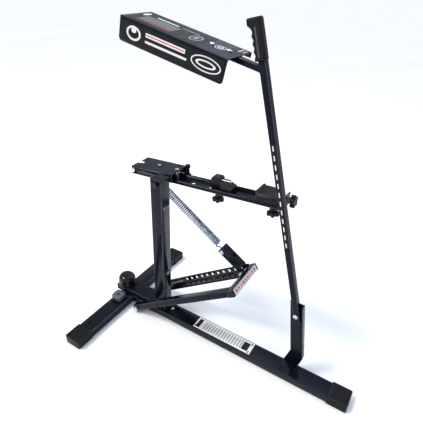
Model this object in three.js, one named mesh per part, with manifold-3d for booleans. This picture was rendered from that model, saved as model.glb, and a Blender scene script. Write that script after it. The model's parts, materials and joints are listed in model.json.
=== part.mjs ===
// Foot-driven baseball pitching machine, in millimetres, +Z up.
// +X runs to the operator's end, -X is where the ball leaves, -Y is the near side.
// The working frame has its origin on the floor where the two base tubes cross.
// At the end the whole group is shifted so that the part's origin is the centre
// of its bounding box, at floor level.

import * as THREE from 'three';
import { mergeVertices } from 'three/addons/utils/BufferGeometryUtils.js';
import Module from 'manifold-3d';

const wasm = await Module();
wasm.setup();

// ---------------------------------------------------------------- driving dimensions
const GAP = 0.3; // clearance between touching pieces
const ROUND = 20; // sides of a round piece
const FINE = 32; // sides of a large round piece

const CAP_WALL = 1.5; // rubber wall of the tube end caps
const BASE = { wide: 50.8, high: 25.4, wall: 2.2, rear: 751, side: 265, lift: CAP_WALL + GAP };
const BASE_TOP = BASE.lift + BASE.high;
const CAP = { length: 54, ribs: 9, ribWide: 2.4, ribDeep: 0.9, ribFront: 3, ribRear: 4 };

const DECK = { front: -42, rear: 113, high: 18.5, wall: 3 };
const DECK_TOP = BASE_TOP + GAP + DECK.high;
const BUMPER = { x: -18, radius: 29, high: 37, edge: 7, body: 27.5, shoulder: 21, topRadius: 12 };
const PAD = { x: -7, y: -56, size: 38, high: 15.5, corner: 9, hole: 4 };
const TUBE_BOLT_X = 173;
const SMALL_HOLE = { x: -5, y: -188 }; // the open hole in the top of the cross tube

const MAST = { x: 136, size: 38.1, wall: 2.2, top: 491, boltZ: 173 };
const MAST_CAP = 3;

const AXLE = { z: 482, radius: 5, hole: 5.3 };
const AXLE_RING = 9; // outer radius of the spacer rings on the axle and on the pedal's bolt
const ARM = { y: 60.5, tilt: 4.4, front: -60, rear: 335, wide: 48, bottom: -16.7, top: -4, wall: 2.4 };
const END_PLATE = { thick: 3, top: 15 };
const HUB = { front: -119, rear: 21, wide: 73.6, top: 14, bottom: -9, wall: 3, notch: 17, notchHalf: 9 };
const HUB_STOP = { u: 28.6, y: 32.5, head: 7.2, neck: 4.5, shoulder: 11, top: 21 };
const HUB_BOLT = { u: -112, v: 3.6, radius: 4, head: 3.6 };
const HUB_SCREWS = [-47, 14]; // stations of the two arm screws along the arm
const WEB_HOLE = { u: 68, radius: 6 }; // an open hole in the arm's web

const BALL = { u: 229, v: 25.4, radius: 37.4 }; // a ball's place in its pocket, with clearance
const RELEASE = { front: 131, rear: 163, wide: 20, top: 26, slot: [122, 172] };
const PRONG = { radius: 1.5, out: 28, apart: 12, v: 19 };
const CRADLE = { long: 31, wide: 36, front: 16.5, rear: 2 };
const REAR_BLOCK = { front: 272, lip: 266, rear: 325, top: 18, slot: [280, 328], studU: 306 };
const MICRO = { radius: 4, v: 4, bore: 16, nut: 9, stem: 2 };
const SLOT_WIDE = 8.4;
const KNOB = { radius: 16.5, lobes: 5, depth: 4, thick: 13, stem: 7, stemLong: 18, stud: 3 };

const PEDAL = { x: 65, z: 17, tilt: 35.5, start: -12, end: 425, size: 20, wall: 2 };
const PEDAL_NEAR = { out: -53, in: -33 };
const PEDAL_FAR = { in: 41.5, out: 79.5, low: -8, high: 14 };
const PLUG = 3; // thickness of the tread's end plugs
const PIVOT = { radius: 5, hole: 5.3 };
const PIN = 4; // radius of the pins at both ends of the spring bracket
const SCREW = { radius: 3, hole: 3.3 }; // the small bolts and the holes they go through
const HEX = 1.75; // a hexagon's corner radius over its bolt's radius
const HEADS = { tube: 6.5, mast: 6, arm: 5.5, shield: 5.8, shieldNut: 5.5, micro: 7.5 }; // corner radii
const SLEEVE = 6; // outer radius of the sleeves on the arm's screws
const HOLES = { first: 138.6, pitch: 23.4, count: 12, v: 4, radius: 4.4 };
// The spring bracket and the spring form one straight link from the bar's last hole to the hub's bolt.
const LINK_FOOT = { u: HOLES.first + HOLES.pitch * (HOLES.count - 1), v: HOLES.v };
const BRACKET = { size: 25.4, wall: 2, from: 13, to: 92, ear: 8.5, springPin: 82, hole: 52 };
const SPRING = { radius: 12, wire: 3, lowerHook: 24, upperHook: 20 };

const POLE = { x: 565.5, z: 221, y: 14.1, lean: 15.7, size: 15.9, wall: 1.6, below: -26, top: 698 };
const POLE_BRACKET = {
  front: 553, rear: 595, kink: [566, 606], top: [539, 578], kinkZ: 75, topZ: 250, lip: 17, sheet: 3,
};
const GRIP = { bottom: 628, top: 709, front: 13.5, back: 10, half: 11, beak: 22.5, grooves: 4, wave: 1.3 };
const POLE_BOLT = 4;
const STAY = { high: 12.7, past: 14, up: 605 };
const SHIELD = {
  x: 344, z: 828, tilt: 11.7, long: 276.5, wide: 105, drop: 51.7, lip: 12, thick: 1.6, corner: 8,
};
const SHIELD_BOLTS = [27, 70]; // distances forward from the shield's rear edge

const rad = THREE.MathUtils.degToRad;

// ---------------------------------------------------------------- solids
// A solid is a manifold; geometry() turns it back into a three.js geometry.
function solid(geometry) {
  const bare = geometry.index ? geometry.toNonIndexed() : geometry.clone();
  bare.deleteAttribute('normal');
  bare.deleteAttribute('uv');
  const merged = mergeVertices(bare, 1e-4);
  return new wasm.Manifold(new wasm.Mesh({
    numProp: 3,
    vertProperties: new Float32Array(merged.attributes.position.array),
    triVerts: new Uint32Array(merged.index.array),
  }));
}

function geometry(body) {
  const mesh = body.getMesh();
  const out = new THREE.BufferGeometry();
  out.setAttribute('position', new THREE.BufferAttribute(new Float32Array(mesh.vertProperties), 3));
  out.setIndex(new THREE.BufferAttribute(new Uint32Array(mesh.triVerts), 1));
  return out;
}

function box(x0, x1, y0, y1, z0, z1) {
  const shape = new THREE.BoxGeometry(x1 - x0, y1 - y0, z1 - z0);
  shape.translate((x0 + x1) / 2, (y0 + y1) / 2, (z0 + z1) / 2);
  return solid(shape);
}

// A round bar between two stations on the X, Y or Z axis direction, centred on at = [.., ..].
function rod(axis, radius, from, to, at, sides = ROUND) {
  const shape = new THREE.CylinderGeometry(radius, radius, to - from, sides);
  const middle = (from + to) / 2;
  if (axis === 'x') {
    shape.rotateZ(-Math.PI / 2);
    shape.translate(middle, at[0], at[1]);
  } else if (axis === 'y') {
    shape.translate(at[0], middle, at[1]);
  } else {
    shape.rotateX(Math.PI / 2);
    shape.translate(at[0], at[1], middle);
  }
  return solid(shape);
}

// A square or rectangular tube along X, Y or Z, from its outer box.
function tube(axis, [x0, x1, y0, y1, z0, z1], wall) {
  const past = 1;
  const w = (name) => (axis === name ? -past : wall);
  const bore = box(x0 + w('x'), x1 - w('x'), y0 + w('y'), y1 - w('y'), z0 + w('z'), z1 - w('z'));
  return box(x0, x1, y0, y1, z0, z1).subtract(bore);
}

// A flat outline in X-Z, given thickness along Y.
function plateXZ(points, y0, y1) {
  const shape = new THREE.Shape(points.map(([x, z]) => new THREE.Vector2(x, z)));
  const slab = new THREE.ExtrudeGeometry(shape, { depth: y1 - y0, bevelEnabled: false });
  slab.rotateX(Math.PI / 2);
  slab.translate(0, y1, 0);
  return solid(slab);
}

// A rounded rectangle in X-Y, given thickness along Z.
function roundedSlab(cx, cy, sx, sy, corner, z0, z1) {
  const [x, y] = [cx - sx / 2, cy - sy / 2];
  const shape = new THREE.Shape();
  shape.absarc(x + sx - corner, y + corner, corner, -Math.PI / 2, 0);
  shape.absarc(x + sx - corner, y + sy - corner, corner, 0, Math.PI / 2);
  shape.absarc(x + corner, y + sy - corner, corner, Math.PI / 2, Math.PI);
  shape.absarc(x + corner, y + corner, corner, Math.PI, Math.PI * 1.5);
  const slab = new THREE.ExtrudeGeometry(shape, { depth: z1 - z0, bevelEnabled: false, curveSegments: 5 });
  slab.translate(0, 0, z0);
  return solid(slab);
}

function ball(radius, x, y, z) {
  const shape = new THREE.SphereGeometry(radius, FINE, 20);
  shape.translate(x, y, z);
  return solid(shape);
}

// A wire of round section along a smooth curve through the points.
function wire(radius, points, steps, sides = 8) {
  const path = new THREE.CatmullRomCurve3(points.map((p) => new THREE.Vector3(...p)));
  const section = new THREE.Shape();
  section.absarc(0, 0, radius, 0, Math.PI * 2);
  return solid(new THREE.ExtrudeGeometry(section, {
    steps, curveSegments: sides / 2, bevelEnabled: false, extrudePath: path,
  }));
}

// Hexagon-headed bolt along Y: the head is at the near (-Y) end, outside headY.
function boltY(radius, headY, endY, at, headHigh = 5.5) {
  const shank = rod('y', radius, headY - 1, endY, at, 16);
  return shank.add(rod('y', radius * HEX, headY - headHigh, headY, at, 6));
}

// Bolt along Y between two faces, with its nut run up tight and modelled as one with it.
function pinY(radius, near, far, at, headHigh = 5) {
  return boltY(radius, near, far + 8, at, headHigh).add(rod('y', radius * HEX, far, far + 5.5, at, 6));
}

function nutY(radius, from, at, high = 6) {
  const hex = rod('y', radius * HEX, from, from + high, at, 6);
  return hex.subtract(rod('y', radius + GAP, from - 1, from + high + 1, at, 16));
}

// Star knob hanging on axis Z below z = 0, with its stud pointing up.
function starKnob(studUp, stemLong = KNOB.stemLong) {
  const points = [];
  const steps = 60;
  for (let i = 0; i < steps; i += 1) {
    const angle = (i / steps) * Math.PI * 2;
    const r = KNOB.radius - KNOB.depth * (0.5 - 0.5 * Math.cos(angle * KNOB.lobes));
    points.push(new THREE.Vector2(r * Math.cos(angle), r * Math.sin(angle)));
  }
  const star = new THREE.ExtrudeGeometry(new THREE.Shape(points), { depth: KNOB.thick, bevelEnabled: false });
  star.translate(0, 0, -stemLong - KNOB.thick);
  const stem = rod('z', KNOB.stem, -stemLong - 1, 0, [0, 0], ROUND);
  return solid(star).add(stem).add(rod('z', KNOB.stud, -1, studUp, [0, 0], 12));
}

// ---------------------------------------------------------------- materials
const finishes = {
  paint: { color: 0x14151a, roughness: 0.28, metalness: 0.3 },
  zinc: { color: 0xb9bec6, roughness: 0.35, metalness: 0.9 },
  rubber: { color: 0x1b1b1b, roughness: 0.85, metalness: 0 },
  plastic: { color: 0x111214, roughness: 0.5, metalness: 0 },
  grip: { color: 0x191a1b, roughness: 0.75, metalness: 0 },
  pad: { color: 0x9a9ca3, roughness: 0.6, metalness: 0 },
};

function put(group, name, body, finish) {
  const mesh = new THREE.Mesh(geometry(body), new THREE.MeshStandardMaterial(finishes[finish]));
  mesh.name = name;
  group.add(mesh);
}

// A group at a place, tilted up towards +X by an angle in degrees.
function tilted(parent, x, y, z, degrees) {
  const group = new THREE.Group();
  group.position.set(x, y, z);
  group.rotation.y = -rad(degrees);
  parent.add(group);
  return group;
}

// ---------------------------------------------------------------- base
function endCap(length) {
  const out = BASE.lift;
  const y = BASE.wide / 2 + out;
  const z1 = BASE_TOP + out;
  let body = box(-length, 0, -y, y, 0, z1);
  body = body.subtract(box(-length - 1, -CAP_WALL, -y + CAP_WALL, y - CAP_WALL, CAP_WALL, z1 - CAP_WALL));
  const pitch = (2 * y) / (CAP.ribs + 1);
  for (let i = 1; i <= CAP.ribs; i += 1) {
    const at = -y + i * pitch;
    const [a, b] = [at - CAP.ribWide / 2, at + CAP.ribWide / 2];
    body = body.subtract(box(-length + CAP.ribRear, -CAP.ribFront, a, b, z1 - CAP.ribDeep, z1 + 1));
  }
  return body;
}

function base(root) {
  const half = BASE.wide / 2;
  const [z0, z1] = [BASE.lift, BASE_TOP];
  const pivotBore = rod('y', PIVOT.hole, -half - 1, half + 1, [PEDAL.x, PEDAL.z], 16);
  const boltBore = rod('z', SCREW.hole, BASE_TOP - 5, BASE_TOP + 1, [TUBE_BOLT_X, 0], 12);
  const main = tube('x', [half + GAP, BASE.rear - CAP_WALL - GAP, -half, half, z0, z1], BASE.wall);
  put(root, 'base_main_tube', main.subtract(pivotBore).subtract(boltBore), 'paint');

  const side = BASE.side - CAP_WALL - GAP;
  const cross = tube('y', [-half, half, -side, side, z0, z1], BASE.wall);
  const smallHole = rod('z', SCREW.hole, BASE_TOP - 5, BASE_TOP + 1, [SMALL_HOLE.x, SMALL_HOLE.y], 12);
  put(root, 'base_cross_tube', cross.subtract(smallHole), 'paint');

  const rear = tilted(root, BASE.rear, 0, 0, 0);
  put(rear, 'cap_rear', endCap(CAP.length), 'rubber');
  for (const [name, sign] of [['cap_near', -1], ['cap_far', 1]]) {
    const turned = new THREE.Group();
    turned.position.set(0, sign * BASE.side, 0);
    turned.rotation.z = (sign * Math.PI) / 2;
    root.add(turned);
    put(turned, name, endCap(CAP.length), 'rubber');
  }
  const screw = rod('z', SCREW.radius, BASE_TOP - 4.5, BASE_TOP + GAP + 1, [TUBE_BOLT_X, 0], 12);
  const head = rod('z', HEADS.tube, BASE_TOP + GAP, BASE_TOP + 5.5, [TUBE_BOLT_X, 0], 6);
  put(root, 'tube_bolt', screw.add(head), 'zinc');
}

function deck(root) {
  const half = BASE.wide / 2;
  const z0 = BASE_TOP + GAP;
  const outer = box(DECK.front, DECK.rear, -half, half, z0, DECK_TOP);
  const inner = box(DECK.front - 1, DECK.rear + 1, -half + DECK.wall, half - DECK.wall,
    z0 - 1, DECK_TOP - DECK.wall);
  put(root, 'deck_channel', outer.subtract(inner), 'paint');

  // The bumper: a flanged foot, a straight side and a rounded shoulder up to a small flat top.
  const { radius, high, edge, body, shoulder, topRadius } = BUMPER;
  const points = [[0, 0], [radius, 0], [radius, edge], [body, edge + 2]];
  const shoulderSteps = 7;
  for (let i = 0; i <= shoulderSteps; i += 1) {
    const angle = (i / shoulderSteps) * (Math.PI / 2);
    const reach = topRadius + (body - topRadius) * Math.cos(angle);
    points.push([reach, shoulder + (high - shoulder) * Math.sin(angle)]);
  }
  points.push([0, high]);
  const profile = points.map(([x, z]) => new THREE.Vector2(x, z));
  const dome = new THREE.LatheGeometry(profile, FINE);
  dome.rotateX(Math.PI / 2);
  dome.translate(BUMPER.x, 0, DECK_TOP + GAP);
  put(root, 'deck_bumper', solid(dome), 'rubber');

  const padTop = BASE_TOP + GAP + PAD.high;
  const pad = roundedSlab(PAD.x, PAD.y, PAD.size, PAD.size, PAD.corner, BASE_TOP + GAP, padTop);
  put(root, 'deck_pad', pad.subtract(rod('z', PAD.hole, padTop - 8, padTop + 1, [PAD.x, PAD.y])), 'pad');
}

// ---------------------------------------------------------------- mast
function mast(root) {
  const half = MAST.size / 2;
  const z0 = BASE_TOP + GAP;
  const post = tube('z', [MAST.x - half, MAST.x + half, -half, half, z0, MAST.top], MAST.wall);
  const axleBore = rod('y', AXLE.hole, -half - 1, half + 1, [MAST.x, AXLE.z], 16);
  const rear = MAST.x + half;
  const boltBore = rod('x', SCREW.hole, MAST.x, rear + 1, [0, MAST.boltZ], 12);
  put(root, 'mast', post.subtract(axleBore).subtract(boltBore), 'paint');
  const capLow = MAST.top + GAP;
  put(root, 'mast_cap', box(MAST.x - half, rear, -half, half, capLow, capLow + MAST_CAP), 'paint');
  const shank = rod('x', SCREW.radius, rear - 8, rear + 1, [0, MAST.boltZ], 12);
  const head = rod('x', HEADS.mast, rear + GAP, rear + 5, [0, MAST.boltZ], 6);
  put(root, 'mast_bolt', shank.add(head), 'zinc');

  // Ring on the axle between the mast and the hub's near side.
  const hubNear = ARM.y - HUB.wide / 2;
  const ring = rod('y', AXLE_RING, half + GAP, hubNear - GAP, [MAST.x, AXLE.z]);
  put(root, 'axle_spacer', ring.subtract(rod('y', AXLE.hole, half, hubNear, [MAST.x, AXLE.z], 16)), 'zinc');

  const farEnd = ARM.y + HUB.wide / 2;
  put(root, 'axle_bolt', boltY(AXLE.radius, -half - GAP, farEnd + 9, [MAST.x, AXLE.z], 7), 'zinc');
  put(root, 'axle_nut', nutY(AXLE.radius, farEnd + 0.8, [MAST.x, AXLE.z], 7), 'zinc');
}

// ---------------------------------------------------------------- throwing arm
function hub(arm) {
  const half = HUB.wide / 2;
  const outer = box(HUB.front, HUB.rear, -half, half, HUB.bottom, HUB.top);
  const inner = box(HUB.front - 1, HUB.rear + 1, -half + HUB.wall, half - HUB.wall,
    HUB.bottom - 1, HUB.top - HUB.wall);
  let body = outer.subtract(inner);
  body = body.subtract(rod('y', AXLE.hole, -half - 1, half + 1, [0, 0], 16));
  body = body.subtract(rod('y', HUB_BOLT.radius + GAP, -half - 1, half + 1, [HUB_BOLT.u, HUB_BOLT.v], 16));
  const { notch, notchHalf } = HUB;
  body = body.subtract(box(HUB.front - 1, HUB.front + notch, -notchHalf, notchHalf, 0, HUB.top + 1));
  for (const u of HUB_SCREWS) {
    body = body.subtract(rod('z', SCREW.hole, 0, HUB.top + 1, [u, 0], 12));
  }
  // The stop stands on a small ledge of the far side.
  const ledge = box(HUB.rear - 1, HUB_STOP.u + 8, HUB_STOP.y - 7.5, half, HUB.bottom, HUB.bottom + HUB.wall);
  put(arm, 'hub_channel', body.add(ledge), 'paint');
  const pin = pinY(HUB_BOLT.radius, -half - GAP, half + GAP, [HUB_BOLT.u, HUB_BOLT.v], HUB_BOLT.head);
  put(arm, 'spring_pin_upper', pin, 'zinc');

  const webTop = ARM.bottom + ARM.wall;
  const names = ['arm_screw_front', 'arm_screw_rear'];
  const sleeves = ['arm_sleeve_front', 'arm_sleeve_rear'];
  HUB_SCREWS.forEach((u, i) => {
    const screw = rod('z', SCREW.radius, ARM.bottom - 7, HUB.top + 1, [u, 0], 12);
    put(arm, names[i], screw.add(rod('z', HEADS.arm, HUB.top + GAP, HUB.top + 4, [u, 0], 6)), 'zinc');
    const sleeve = rod('z', SLEEVE, webTop + GAP, HUB.top - HUB.wall - GAP, [u, 0], 16);
    put(arm, sleeves[i], sleeve.subtract(rod('z', SCREW.hole, webTop - 1, HUB.top, [u, 0], 12)), 'zinc');
  });
  // Rubber stop on the ledge at the hub's rear far corner.
  const at = [HUB_STOP.u, HUB_STOP.y];
  const stop = rod('z', HUB_STOP.neck, HUB.bottom + HUB.wall + GAP, HUB_STOP.shoulder + 1, at, 16)
    .add(rod('z', HUB_STOP.head, HUB_STOP.shoulder, HUB_STOP.top, at));
  put(arm, 'hub_stop', stop, 'rubber');
}

function slotted(body, [from, to]) {
  const half = SLOT_WIDE / 2;
  const [low, high] = [ARM.bottom - 1, ARM.bottom + ARM.wall + 1];
  return body
    .subtract(box(from, to, -half, half, low, high))
    .subtract(rod('z', half, low, high, [from, 0], 12))
    .subtract(rod('z', half, low, high, [to, 0], 12));
}

function throwingArm(arm) {
  const half = ARM.wide / 2;
  const outer = box(ARM.front, ARM.rear, -half, half, ARM.bottom, ARM.top);
  const inner = box(ARM.front - 1, ARM.rear + 1, -half + ARM.wall, half - ARM.wall,
    ARM.bottom + ARM.wall, ARM.top + 1);
  let body = outer.subtract(inner);
  body = body.subtract(rod('y', AXLE.radius + 1.5, -half - 1, half + 1, [0, 0], 16));
  for (const u of HUB_SCREWS) {
    body = body.subtract(rod('z', SCREW.hole, ARM.bottom - 1, 0, [u, 0], 12));
  }
  body = body.subtract(rod('z', WEB_HOLE.radius, ARM.bottom - 1, 0, [WEB_HOLE.u, 0], ROUND));
  body = slotted(slotted(body, RELEASE.slot), REAR_BLOCK.slot);
  put(arm, 'throwing_arm', body, 'paint');
  const plate = box(ARM.rear + GAP, ARM.rear + GAP + END_PLATE.thick, -half, half, ARM.bottom, END_PLATE.top);
  const bore = rod('x', MICRO.radius + GAP, ARM.rear, ARM.rear + 5, [0, MICRO.v], 16);
  put(arm, 'arm_end_plate', plate.subtract(bore), 'paint');
}

function releaseBlock(arm) {
  const floor = ARM.bottom + ARM.wall + GAP;
  const { front, rear, wide, top } = RELEASE;
  const half = wide / 2;
  const middle = (front + rear) / 2;
  const outline = [[front, floor], [rear, floor], [rear, top - 5], [rear - 5, top], [front + 7, top],
    [front, top - 8]];
  let body = plateXZ(outline, -half, half);
  body = body.subtract(rod('z', KNOB.stud + GAP, floor - 1, 6, [middle, 0], 12));
  for (const [name, y] of [['prong_near', -PRONG.apart / 2], ['prong_far', PRONG.apart / 2]]) {
    body = body.subtract(rod('x', PRONG.radius + GAP, rear - 12, rear + 1, [y, PRONG.v], 12));
    put(arm, name, rod('x', PRONG.radius, rear - 11.5, rear + PRONG.out, [y, PRONG.v], 10), 'zinc');
  }
  put(arm, 'release_block', body, 'plastic');
  const side = CRADLE.wide / 2;
  const back = rear + CRADLE.long;
  const wedge = plateXZ([[rear + GAP, floor], [back, floor], [back, CRADLE.rear],
    [rear + GAP, CRADLE.front]], -side, side);
  const seat = ball(BALL.radius, BALL.u, 0, BALL.v);
  put(arm, 'ball_cradle', wedge.subtract(seat), 'plastic');
}

function rearBlock(arm) {
  const floor = ARM.bottom + ARM.wall + GAP;
  const inside = ARM.wide / 2 - ARM.wall - GAP;
  const { front, lip, rear, top, studU } = REAR_BLOCK;
  const lid = box(lip, rear, -ARM.wide / 2, ARM.wide / 2, ARM.top + GAP, top);
  const ridge = box(lip, lip + 6, -ARM.wide / 2, ARM.wide / 2, top - 1, top + 3);
  const tongue = box(front, rear, -inside, inside, floor, top - 2);
  let body = lid.add(ridge).add(tongue);
  body = body.subtract(ball(BALL.radius, BALL.u, 0, BALL.v));
  body = body.subtract(rod('z', KNOB.stud + GAP, floor - 1, 0, [studU, 0], 12));
  body = body.subtract(rod('x', MICRO.radius + GAP, rear - MICRO.bore, rear + 1, [0, MICRO.v], 16));
  put(arm, 'rear_block', body, 'plastic');
}

function knobs(arm) {
  const under = ARM.bottom - GAP;
  const stations = [
    ['release_knob', (RELEASE.front + RELEASE.rear) / 2, 18],
    ['rear_knob', REAR_BLOCK.studU, 15],
  ];
  for (const [name, u, stud] of stations) {
    const place = new THREE.Group();
    place.position.set(u, 0, under);
    arm.add(place);
    put(place, name, starKnob(stud), 'plastic');
  }
  // The fine-adjusting screw: its knob stands behind the arm's end plate.
  const plateRear = ARM.rear + GAP + END_PLATE.thick;
  const nutRear = plateRear + MICRO.nut;
  const screw = rod('x', MICRO.radius, REAR_BLOCK.rear - 6, nutRear + 3, [0, MICRO.v], 16)
    .add(rod('x', HEADS.micro, plateRear + GAP, nutRear, [0, MICRO.v], 6));
  put(arm, 'micro_screw', screw, 'zinc');
  const place = new THREE.Group();
  place.position.set(nutRear + GAP, 0, MICRO.v);
  place.rotation.y = -Math.PI / 2;
  arm.add(place);
  const body = starKnob(-0.5, MICRO.stem).subtract(rod('z', MICRO.radius + GAP, -3.5, 1, [0, 0], 16));
  put(place, 'micro_knob', body, 'plastic');
}

function throwing(root) {
  const arm = tilted(root, MAST.x, ARM.y, AXLE.z, ARM.tilt);
  hub(arm);
  throwingArm(arm);
  releaseBlock(arm);
  rearBlock(arm);
  knobs(arm);
}

// ---------------------------------------------------------------- pedal
function perforatedBar(pedal) {
  const { in: y0, out: y1, low, high } = PEDAL_FAR;
  const end = PEDAL.end - PEDAL.size - GAP;
  const outer = box(PEDAL.start, end, y0, y1, low, high);
  const inner = box(PEDAL.start - 1, end + 1, y0 + PEDAL.wall, y1 - PEDAL.wall, low + PEDAL.wall, high + 1);
  let body = outer.subtract(inner).subtract(rod('y', PIVOT.hole, y0 - 1, y1 + 1, [0, 0], 16));
  for (let i = 0; i < HOLES.count; i += 1) {
    const r = HOLES.first + i * HOLES.pitch;
    body = body.subtract(rod('y', HOLES.radius, y0 - 1, y1 + 1, [r, HOLES.v], 12));
  }
  put(pedal, 'pedal_far_bar', body, 'paint');
  const foot = [LINK_FOOT.u, LINK_FOOT.v];
  put(pedal, 'bracket_foot_pin', pinY(PIN, y0 - GAP, y1 + GAP, foot), 'zinc');
}

function pedalFrame(root) {
  const pedal = tilted(root, PEDAL.x, 0, PEDAL.z, PEDAL.tilt);
  const half = PEDAL.size / 2;
  const end = PEDAL.end - PEDAL.size - GAP;
  const nearTube = tube('x', [PEDAL.start, end, PEDAL_NEAR.out, PEDAL_NEAR.in, -half, half], PEDAL.wall);
  const bore = rod('y', PIVOT.hole, PEDAL_NEAR.out - 1, PEDAL_NEAR.in + 1, [0, 0], 16);
  put(pedal, 'pedal_near_tube', nearTube.subtract(bore), 'paint');
  perforatedBar(pedal);
  const tread = tube('y', [end + GAP, PEDAL.end, PEDAL_NEAR.out, PEDAL_FAR.out, -half, half], PEDAL.wall);
  put(pedal, 'pedal_tread', tread, 'paint');
  const ends = [['tread_plug_near', PEDAL_NEAR.out - PLUG - GAP, PEDAL_NEAR.out - GAP],
    ['tread_plug_far', PEDAL_FAR.out + GAP, PEDAL_FAR.out + GAP + PLUG]];
  for (const [name, y0, y1] of ends) {
    put(pedal, name, box(end + GAP, PEDAL.end, y0, y1, -half, half), 'plastic');
  }

  const at = [PEDAL.x, PEDAL.z];
  put(root, 'pedal_pivot_bolt', boltY(PIVOT.radius, PEDAL_NEAR.out - GAP, PEDAL_FAR.out + 9, at, 7), 'zinc');
  put(root, 'pedal_pivot_nut', nutY(PIVOT.radius, PEDAL_FAR.out + GAP, at, 7), 'zinc');
  const side = BASE.wide / 2;
  const spacers = [['pedal_spacer_near', PEDAL_NEAR.in + GAP, -side - GAP],
    ['pedal_spacer_far', side + GAP, PEDAL_FAR.in - GAP]];
  for (const [name, y0, y1] of spacers) {
    const ring = rod('y', AXLE_RING, y0, y1, at);
    put(root, name, ring.subtract(rod('y', PIVOT.hole, y0 - 1, y1 + 1, at, 16)), 'zinc');
  }
}

// ---------------------------------------------------------------- spring link
// Local X runs from the foot pin in the pedal's bar to the bolt in the hub.
function springBracket(link) {
  const half = BRACKET.size / 2;
  const { wall, from, to, ear } = BRACKET;
  let body = tube('x', [from, to, -half, half, -half, half], wall);
  for (const y of [-half, half - wall]) {
    const plate = box(0, from + 4, y, y + wall, -ear, ear).add(rod('y', ear, y, y + wall, [0, 0], ROUND));
    body = body.add(plate);
  }
  for (const x of [0, BRACKET.springPin]) {
    body = body.subtract(rod('y', PIN + GAP, -half - 1, half + 1, [x, 0], 16));
  }
  body = body.subtract(rod('z', 5, -half - 1, 0, [BRACKET.hole, 0], 16));
  put(link, 'spring_bracket', body, 'paint');
  put(link, 'spring_pin_lower', pinY(PIN, -half - GAP, half + GAP, [BRACKET.springPin, 0]), 'zinc');
}

function hook(length) {
  const loop = PIN + GAP + SPRING.wire / 2 + 0.4;
  const points = [];
  const arcSteps = 8;
  const [start, end] = [rad(-150), rad(105)];
  for (let i = 0; i <= arcSteps; i += 1) {
    const angle = start + ((end - start) * i) / arcSteps;
    points.push([-loop * Math.cos(angle), 0, loop * Math.sin(angle)]);
  }
  points.push([loop + 3, 0, 2], [length, 0, 0]);
  return wire(SPRING.wire / 2, points, 30);
}

// A place given along and across a tilted member, as world X and Z.
function along(x, z, tilt, u, v) {
  const [c, s] = [Math.cos(rad(tilt)), Math.sin(rad(tilt))];
  return new THREE.Vector2(x + u * c - v * s, z + u * s + v * c);
}

function springLink(root) {
  const foot = along(PEDAL.x, PEDAL.z, PEDAL.tilt, LINK_FOOT.u, LINK_FOOT.v);
  const top = along(MAST.x, AXLE.z, ARM.tilt, HUB_BOLT.u, HUB_BOLT.v);
  const run = foot.distanceTo(top);
  const angle = THREE.MathUtils.radToDeg(Math.atan2(top.y - foot.y, top.x - foot.x));
  const link = tilted(root, foot.x, ARM.y, foot.y, angle);
  springBracket(link);

  const from = BRACKET.springPin + SPRING.lowerHook;
  const to = run - SPRING.upperHook;
  const r = SPRING.radius;
  const inner = r - SPRING.wire;
  const profile = [[inner, from], [r, from], [r, to], [inner, to], [inner, from]];
  const coil = new THREE.LatheGeometry(profile.map(([x, z]) => new THREE.Vector2(x, z)), FINE);
  coil.rotateZ(-Math.PI / 2);
  put(link, 'throw_spring', solid(coil), 'zinc');
  const gapToCoil = 0.6;
  const lower = hook(SPRING.lowerHook - gapToCoil).translate([BRACKET.springPin, 0, 0]);
  put(link, 'spring_hook_lower', lower, 'zinc');
  const upper = hook(SPRING.upperHook - gapToCoil).rotate([0, 180, 0]).translate([run, 0, 0]);
  put(link, 'spring_hook_upper', upper, 'zinc');
}

// ---------------------------------------------------------------- sight pole and shield
function poleBracket(root) {
  const z0 = BASE_TOP + GAP;
  const { front, rear, kink, top, kinkZ, topZ, lip, sheet } = POLE_BRACKET;
  const [web0, web1] = [POLE.y + POLE.size / 2 + GAP, BASE.wide / 2];
  const web = plateXZ([[front, z0], [rear, z0], [kink[1], kinkZ], [top[1], topZ], [top[0], topZ],
    [kink[0], kinkZ]], web0, web1);
  const foot = box(front, rear, -BASE.wide / 2, web1, z0, z0 + sheet);
  const flange = plateXZ([[rear - sheet, z0 + 1], [rear, z0 + 1], [kink[1], kinkZ], [top[1], topZ],
    [top[1] - sheet, topZ], [kink[1] - sheet, kinkZ]], web1 - lip, web1);
  const bore = rod('y', POLE_BOLT + GAP, web0 - 1, web1 + 1, [POLE.x, POLE.z], 16);
  put(root, 'pole_bracket', web.add(foot).add(flange).subtract(bore), 'paint');
}

// Side view of the grip: a beak at its top front, finger grooves below it, and a plain back.
function gripOutline() {
  const { bottom, top, front, back, beak } = GRIP;
  const chamfer = 3;
  const under = top - 19; // where the beak ends and the grooves begin
  const points = [[back, bottom], [back, top - chamfer], [back - chamfer, top], [-front - 3, top],
    [-beak + 1, top - 5], [-beak, top - 14]];
  const steps = 24;
  for (let i = 0; i <= steps; i += 1) {
    const t = i / steps;
    const wave = GRIP.wave * Math.cos(t * GRIP.grooves * Math.PI * 2);
    points.push([-front - 1 - wave, under - t * (under - bottom - 4)]);
  }
  points.push([-front + 1, bottom]);
  return points;
}

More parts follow.
